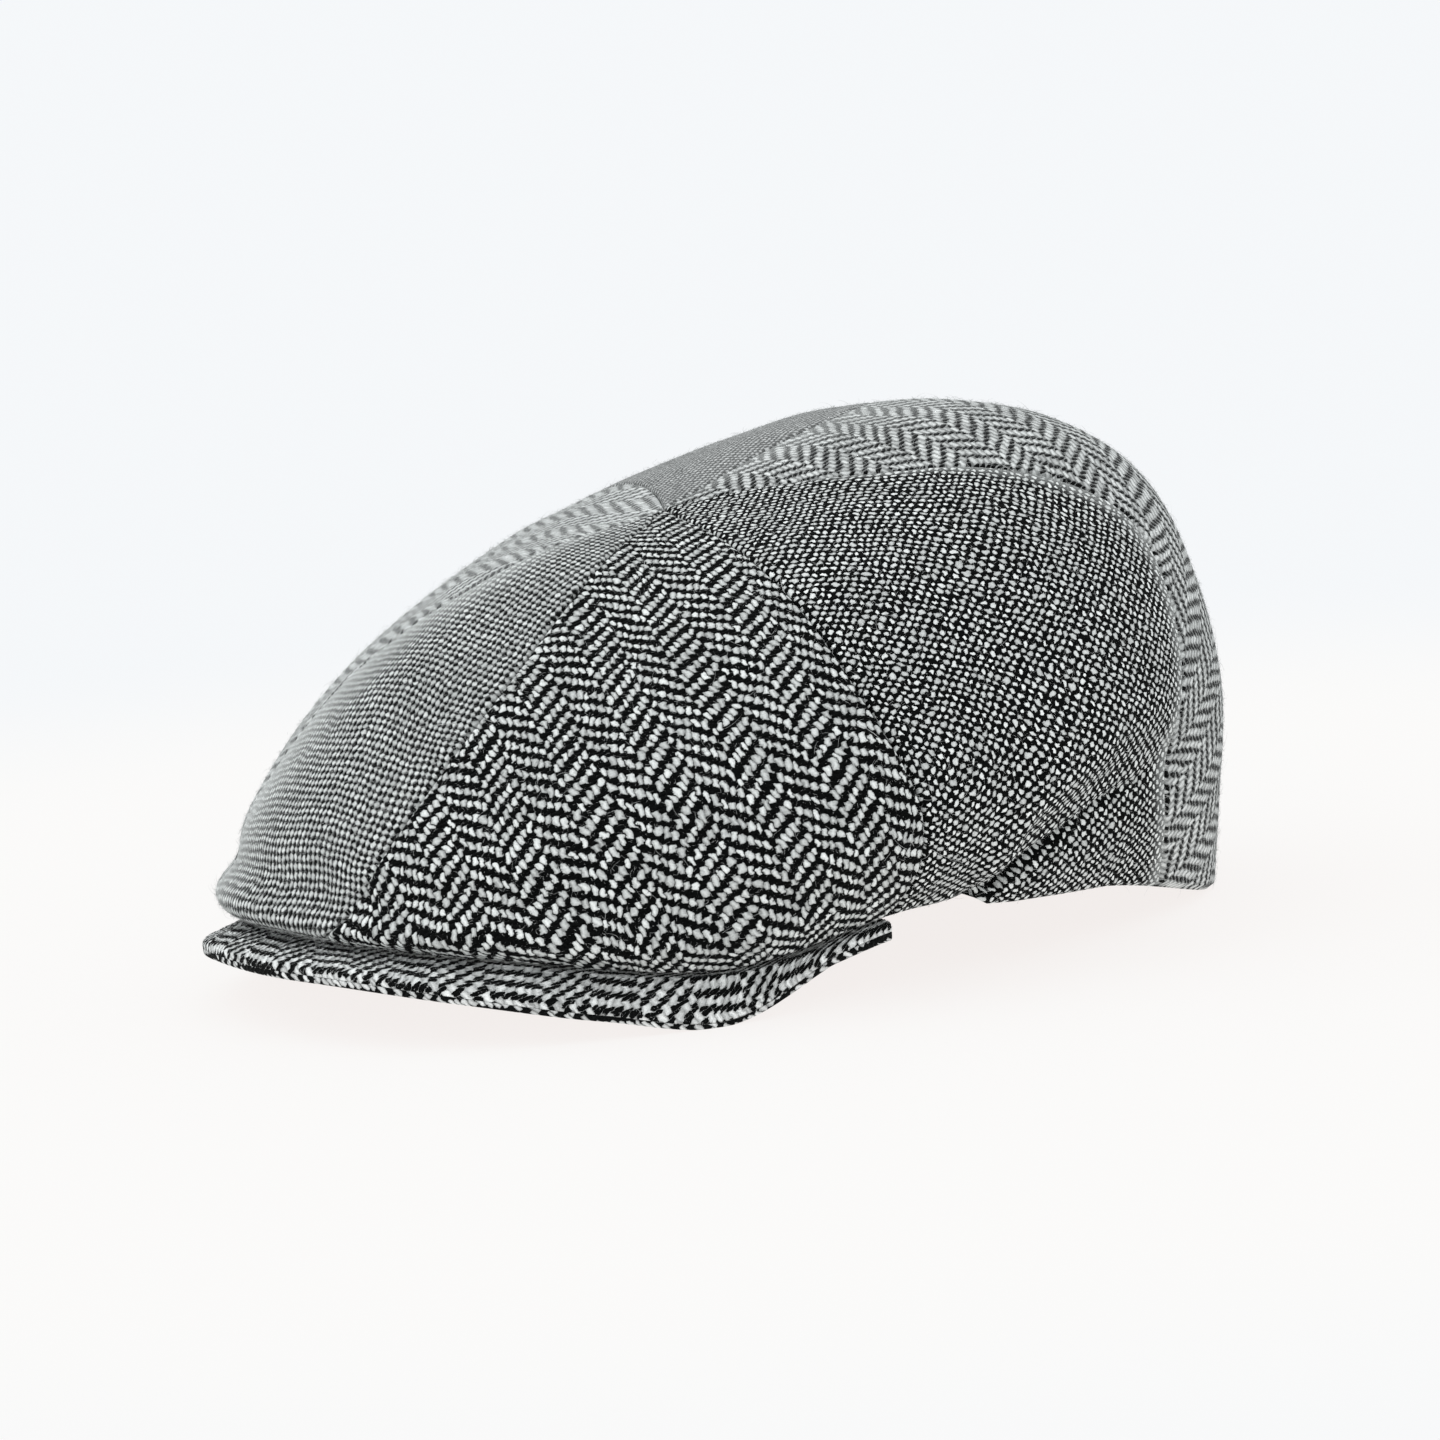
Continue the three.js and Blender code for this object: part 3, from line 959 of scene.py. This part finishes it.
@dataclass
class Fibres:
    """Loose curled wool fibres that stand off a cloth. Lengths are in millimetres."""

    name: str
    slot: str
    count: int
    seed: int
    steps: int = 2
    width: float = 0.07
    longest: float = 1.5
    rise: float = 1.0
    root_depth: float = 0.15
    lowest: float = 0.05
    most_curl: float = 1.6

    def build(self, points: Array, direction: Array) -> bpy.types.Object:
        """Copies one strip and curls each copy from a chance place on the cloth.

        Args:
            points: the cloth's outside in metres, by row and column.
            direction: outward directions at the points.

        Returns:
            The fibres as one piece.
        """
        clear_selection()
        bpy.ops.mesh.primitive_grid_add(x_subdivisions=self.steps, y_subdivisions=1, size=MM)
        made = bpy.context.object
        made.name = made.data.name = self.name
        copies = made.modifiers.new("copies", "ARRAY")
        copies.count = self.count
        copies.use_relative_offset = False
        bpy.ops.object.modifier_apply(modifier=copies.name)
        rng = np.random.default_rng(self.seed)
        spine = self.spines(points, direction, rng)
        flat = np.cross(spine[:, -1] - spine[:, 0], rng.normal(size=(self.count, 3)))
        flat /= np.linalg.norm(flat, axis=1, keepdims=True)
        thin = np.linspace(1, 0.4, self.steps + 1)[None, :, None]
        edge = flat[:, None] * thin * self.width * MM / 2
        both = np.stack([spine - edge, spine + edge], 1)
        made.data.vertices.foreach_set("co", both.reshape(-1))
        made.data.update()
        made.data.materials.append(fibre_finish())
        made.data.shade_smooth()
        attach(made, "root")
        log.info("%s: %d fibres", self.name, self.count)
        return made

    def spines(self, points: Array, direction: Array, rng: np.random.Generator) -> Array:
        """Points along the middle of each fibre, in metres, by fibre and step."""
        weights = cell_areas(points).ravel()
        pick = rng.choice(len(weights), self.count, p=weights / weights.sum())
        row, column = np.divmod(pick, points.shape[1] - 1)
        root, out = points[row, column], direction[row, column]
        side = np.cross(out, rng.normal(size=(self.count, 3)))
        side /= np.linalg.norm(side, axis=1, keepdims=True)
        length = rng.uniform(0.25, 1, self.count)[:, None] ** 1.6 * self.longest * MM
        lift = rng.uniform(0.1, 1.0, self.count)[:, None] * self.rise
        curl = rng.uniform(-self.most_curl, self.most_curl, self.count)[:, None]
        other = np.cross(out, side)
        spine, here = [], root - out * self.root_depth * MM
        for k in range(self.steps + 1):
            spine.append(here)
            part = k / self.steps
            turn = curl * part
            head = side * np.cos(turn) + other * np.sin(turn) + out * lift * (1.5 - 1.6 * part)
            head /= np.linalg.norm(head, axis=1, keepdims=True)
            here = here + head * length / self.steps
            here[:, 2] = np.maximum(here[:, 2], self.lowest * MM)
        return np.stack(spine, 1)


def fibre_finish() -> bpy.types.Material:
    """Pale wool fibre, shared by all the fibres."""
    made = bpy.data.materials.get("loose_wool")
    if made:
        return made
    board = NodeBoard.fresh("loose_wool")
    place = board.node("ShaderNodeTexCoord").outputs["Object"]
    patch = board.noise(place, 700.0, 1.0).outputs[0]
    colour = board.mix(board.maths("MULTIPLY_ADD", patch, 1.6, -0.3),
                       (0.3, 0.31, 0.305, 1.0), (0.84, 0.86, 0.85, 1.0))
    return board.skin(Base_Color=colour, Roughness=0.8, Specular_IOR_Level=0.2)


@dataclass
class Peak:
    """The short stiff peak: an upper and a lower cloth, with no board built between them."""

    form: PeakForm
    cover: SewnPiece
    underside: SewnPiece
    cover_grid: tuple[int, int] = (420, 60)
    underside_grid: tuple[int, int] = (260, 24)
    hidden_grid: tuple[int, int] = (70, 10)
    crowding: float = 1.35
    cover_thinning: float = 0.2
    fibres: int = 6000
    calm_edge: float = 1.5

    def half(self, side: int, rows: int, columns: int, wall: float) -> Array:
        """Points of one half's face, in millimetres, from its inner edge outwards."""
        angle = self.form.end_angle * (1 - 2 * np.linspace(0, 1, rows))[:, None]
        share = 1 - (1 - np.linspace(0, 1, columns)[None]) ** self.crowding
        x, y, height, full = self.form.section(angle, share)
        thin = 1 - self.cover_thinning * share if side > 0 else 1
        level = height + side * (self.form.gap / 2 * 0.2 + wall * full * thin)
        return np.stack([x, y, np.maximum(level, 0) if side < 0 else level], -1)

    def build(self, origin: Array) -> None:
        """Builds both halves of the peak about the crown's top point."""
        self.build_half(self.cover, 1, self.form.cover_wall, origin, self.cover_grid)
        self.build_half(self.underside, -1, self.form.underside_wall, origin, self.underside_grid)

    def build_half(self, piece: SewnPiece, side: int, wall: float, origin: Array,
                   grid: tuple[int, int]) -> None:
        """Builds one half, with its hidden face inwards.

        Args:
            piece: the half's name and finish.
            side: 1 for the upper half and -1 for the lower one.
            wall: thickness of the half, in millimetres.
            origin: place of the crown's top point in the frame, in metres.
            grid: rows round the peak and columns outwards.
        """
        skin = self.half(side, *grid, wall)
        face = self.half(side, *self.hidden_grid, 0.0)
        if side > 0:
            skin, face = np.swapaxes(skin, 0, 1), np.swapaxes(face, 0, 1)
        else:
            skin, face = np.swapaxes(skin, 0, 1)[:, ::-1], np.swapaxes(face, 0, 1)[:, ::-1]
        direction = normals_of(skin)
        down, across = lengths_along(skin, 0), lengths_along(skin, 1)
        middle = across[:, across.shape[1] // 2][:, None]
        cloth = np.stack([across - middle, -down], -1) * MM
        cloth = piece.finish.lay(cloth)
        rim = np.minimum(down, down[-1:] - down)
        calm = np.clip(rim / self.calm_edge, 0, 1)
        lift = piece.finish.relief * piece.finish.height(cloth) * calm
        shaped = skin + direction * lift[..., None]
        shell = grid_object(piece.node + "_cloth", shaped * MM + origin)
        set_cloth_map(shell, cloth)
        back = grid_object(piece.node + "_inside", (face * MM + origin)[:, ::-1])
        hidden = np.stack([lengths_along(face, 1), -lengths_along(face, 0)], -1) * MM
        set_cloth_map(back, hidden[:, ::-1] + 0.5)
        made = bridge(shell, back, piece.node + "_tweed")
        piece.dress(made, [piece.node])
        area = float(cell_areas(skin).sum()) * MM ** 2
        if side > 0:
            fuzz = Fibres(piece.node + "_fuzz", piece.slot, self.fibres, piece.finish.seed)
            fuzz.build(shaped * MM + origin, direction)
        log.info("%s built", made.name)


@dataclass(frozen=True)
class SoftLight:
    """A far light that is wide enough to be soft, looking from a place at the cap."""

    name: str
    place: tuple[float, float, float]
    power: float
    spread: float

    def build(self) -> None:
        """Adds the light."""
        clear_selection()
        bpy.ops.object.light_add(type="SUN", location=self.place)
        light = bpy.context.object
        light.name = self.name
        light.data.energy = self.power
        light.data.angle = math.radians(self.spread)
        light.rotation_euler = (-Vector(self.place)).to_track_quat("-Z", "Y").to_euler()


@dataclass
class Studio:
    """Pale floor, soft light and the camera at the photograph's angle."""

    azimuth: float = 54.0
    elevation: float = 8.5
    roll: float = -4.0
    distance: float = 1.3
    lens: float = 141.7
    target: tuple[float, float, float] = (0.0, 0.01, 0.06)
    slide: tuple[float, float] = (1.83, -8.5)
    floor_size: float = 60.0
    near_tint: Row = (0.08, 0.116, 0.124, 1.0)
    far_tint: Row = (0.08, 0.112, 0.118, 1.0)
    # Painted light: the glow of the floor, warmer and brighter near the cap.
    near_glow: Row = (0.879, 0.833, 0.815, 1.0)
    far_glow: Row = (0.829, 0.812, 0.823, 1.0)
    sky: Row = (0.97, 0.985, 1.0, 1.0)
    sky_strength: float = 0.8
    lights: tuple[SoftLight, ...] = (
        SoftLight("key_light", (-0.7, -0.75, 1.0), 0.75, 70.0),
        SoftLight("top_light", (0.35, 0.1, 1.0), 0.45, 110.0),
    )

    def build(self, origin: Array) -> None:
        """Adds the floor, the lights, the surround and the camera."""
        self.add_floor()
        for light in self.lights:
            light.build()
        self.add_surround()
        self.add_camera(origin)

    def add_floor(self) -> None:
        """A wide pale floor that glows a little, warmer close to the cap; the glow is painted light that
        keeps the cap's shadow faint, and its warmer, brighter part near the cap is a painted pool of light.
        """
        clear_selection()
        bpy.ops.mesh.primitive_grid_add(x_subdivisions=8, y_subdivisions=8, size=self.floor_size)
        floor = bpy.context.object
        floor.name = "floor"
        board = NodeBoard.fresh("pale_floor")
        place = board.node("ShaderNodeTexCoord").outputs["Object"]
        far = board.vector("LENGTH", i0=place).outputs["Value"]
        far = board.node("ShaderNodeMapRange", {"interpolation_type": "SMOOTHSTEP"},
                         Value=far, From_Min=0.3, From_Max=0.6).outputs[0]
        # Painted light: near_glow and far_glow are the floor's own glow, fading from the warmer, brighter
        # near_glow to far_glow between 0.3 and 0.6 m from the floor's middle.
        floor.data.materials.append(board.skin(
            Base_Color=board.mix(far, self.near_tint, self.far_tint),
            Emission_Color=board.mix(far, self.near_glow, self.far_glow),
            Emission_Strength=1.0, Specular_IOR_Level=0.0, Roughness=0.9))

    def add_surround(self) -> None:
        """A pale surround that also lights the cap."""
        world = bpy.data.worlds.new("surround")
        bpy.context.scene.world = world
        world.use_nodes = True
        world.node_tree.nodes["Background"].inputs[0].default_value = self.sky
        world.node_tree.nodes["Background"].inputs[1].default_value = self.sky_strength
        bpy.context.scene.view_settings.view_transform = "Standard"

    def add_camera(self, origin: Array) -> None:
        """The camera at the photograph's angle to the cap."""
        a, e = math.radians(self.azimuth), math.radians(self.elevation)
        back = Vector((math.sin(a) * math.cos(e), -math.cos(a) * math.cos(e), math.sin(e)))
        right = Vector((math.cos(a), math.sin(a), 0))
        up = back.cross(right)
        turn = math.radians(self.roll)
        image_right = right * math.cos(turn) + up * math.sin(turn)
        image_up = back.cross(image_right)
        centre = Vector(self.target) + Vector((0, float(origin[1]), 0))
        place = centre + back * self.distance
        place += (image_right * self.slide[0] + image_up * self.slide[1]) * MM
        turned = Matrix((image_right, image_up, back)).transposed()
        data = bpy.data.cameras.new("camera")
        camera = bpy.data.objects.new("camera", data)
        bpy.context.scene.collection.objects.link(camera)
        data.lens = self.lens
        data.sensor_width = 36.0
        data.clip_start = 0.01
        camera.matrix_world = Matrix.Translation(place) @ turned.to_4x4()
        bpy.context.scene.camera = camera


PALE = (0.87, 0.905, 0.89)
SOFT_GREY = (0.78, 0.81, 0.798)

FINE_TWEED = Tweed(
    "fine_tweed", Weave.PLAIN, 1.3, 1.15, SOFT_GREY, grain=33, lean=4, cover=-0.4, gap=-0.05,
    bump=0.4, haze=0.02, hollow=0.55, sheen=0.25, pinch=2.0, uneven=0.5, stray=0.8, seed=11
)
COARSE_HERRINGBONE = Tweed(
    "coarse_herringbone", Weave.HERRINGBONE, 1.38, 1.0, PALE, ends=6, grain=-24, lean=7, cover=-0.3,
    gap=0.08, relief=0.16, bump=0.55, haze=0.01, hollow=0.55, sheen=0.02, uneven=0.55, stray=1.3,
    seed=23
)
DARK_TWEED = Tweed(
    "dark_tweed", Weave.PLAIN, 1.5, 1.14, PALE, grain=11, lean=1, gap=0.36, relief=0.07, bump=0.4,
    haze=0.01, hollow=0.65, sheen=0.02, uneven=0.7, stray=1.2, seed=37
)
LIGHT_HERRINGBONE = Tweed(
    "light_herringbone", Weave.HERRINGBONE, 1.5, 1.2, SOFT_GREY, ends=6, grain=80, lean=-22,
    cover=0.15, gap=-0.5, bump=0.45, haze=0.02, hollow=0.55, sheen=0.2, pinch=3.0, uneven=0.6,
    stray=0.9, seed=41
)
GREY_TWEED = Tweed(
    "grey_tweed", Weave.PLAIN, 1.0, 1.0, (0.6, 0.618, 0.612), grain=0, cover=0.1, bump=0.25,
    haze=0.04, sheen=0.15, uneven=0.6, seed=53
)
PALE_HERRINGBONE = Tweed(
    "pale_herringbone", Weave.HERRINGBONE, 1.25, 1.25, (0.82, 0.85, 0.84), ends=8, grain=20,
    cover=0.5, bump=0.4, haze=0.03, hollow=0.55, sheen=0.2, pinch=1.4, uneven=0.5, seed=61
)
PEAK_HERRINGBONE = Tweed(
    "peak_herringbone", Weave.HERRINGBONE, 1.4, 1.25, (0.95, 0.98, 0.97), ends=6, grain=45,
    cover=0.0, gap=-0.6, relief=0.2, bump=0.6, haze=0.015, hollow=0.74, sheen=0.05, uneven=0.5,
    stray=1.2, seed=71
)
# The underside's cloth is darker than the cover's: partly its own colour and partly painted shade, since
# the underside sits in the peak's own shadow.
PEAK_LINING = Tweed(
    "peak_lining", Weave.HERRINGBONE, 1.3, 1.2, (0.85, 0.87, 0.86), grain=45, gap=0.0, bump=0.3,
    haze=0.02, sheen=0.04, uneven=0.5, seed=83
)

SEAMS = {
    "front_left": (38, 33, 26, 18, 11, 8, 8),
    "left": (72, 77, 80, 83, 86, 87, 86),
    "back_left": (122, 121, 128, 133, 126, 125, 130),
    "back_right": (190, 188, 203, 214, 219, 220, 220),
    "right": (246, 252, 257, 261, 265, 266, 267),
    "front_right": (362, 359, 338, 332, 332, 333, 334),
}

GORES = (
    Gore("front_panel", FINE_TWEED, "fine_tweed", SEAMS["front_right"], SEAMS["front_left"], 190, 100,
         13000, painted_sheen=(0.75, 0.0), painted_sheen_reach=(0.0, 0.5)),
    Gore("front_left_panel", COARSE_HERRINGBONE, "coarse_herringbone", SEAMS["front_left"],
         SEAMS["left"], 330, 220, 9000),
    Gore("rear_left_panel", DARK_TWEED, "dark_tweed", SEAMS["left"], SEAMS["back_left"], 300, 200,
         11000, painted_sheen=(0.0, 0.4), painted_sheen_reach=(0.85, 1.0)),
    Gore("back_panel", LIGHT_HERRINGBONE, "light_herringbone", SEAMS["back_left"],
         SEAMS["back_right"], 180, 130, 19000, painted_sheen=(0.0, 0.35), painted_sheen_reach=(0.3, 1.0)),
    Gore("rear_right_panel", GREY_TWEED, "grey_tweed", SEAMS["back_right"], SEAMS["right"], 160, 110,
         12000, painted_sheen=(0.2, 0.2)),
    Gore("front_right_panel", PALE_HERRINGBONE, "pale_herringbone", SEAMS["right"],
         SEAMS["front_right"], 170, 100, 12000, painted_sheen=(0.15, 0.15)),
)


def crown_origin(form: PeakForm) -> Array:
    """Place of the crown's top point in the frame, in metres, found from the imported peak."""
    low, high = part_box("peak_cover")
    _, y, _, _ = form.section(np.zeros((1, 1)), np.ones((1, 1)))
    return np.array([(low.x + high.x) / 2, low.y - float(y[0, 0]) * MM, 0.0])


def main() -> None:
    """Builds the cap and the studio."""
    logging.basicConfig(level=logging.INFO, format="%(name)s %(message)s")
    peak_form = PeakForm(CrownForm())
    origin = crown_origin(peak_form)
    log.info("top point at %s", np.round(origin, 5))
    Studio().build(origin)
    for gore in GORES:
        piece = gore.build(origin)
        log.info("%s: %d faces", piece.name, len(piece.data.polygons))
    Peak(peak_form, SewnPiece("peak_cover", PEAK_HERRINGBONE, "peak_herringbone"),
         SewnPiece("peak_underside", PEAK_LINING, "peak_lining")).build(origin)


if __name__ == "__main__":
    main()
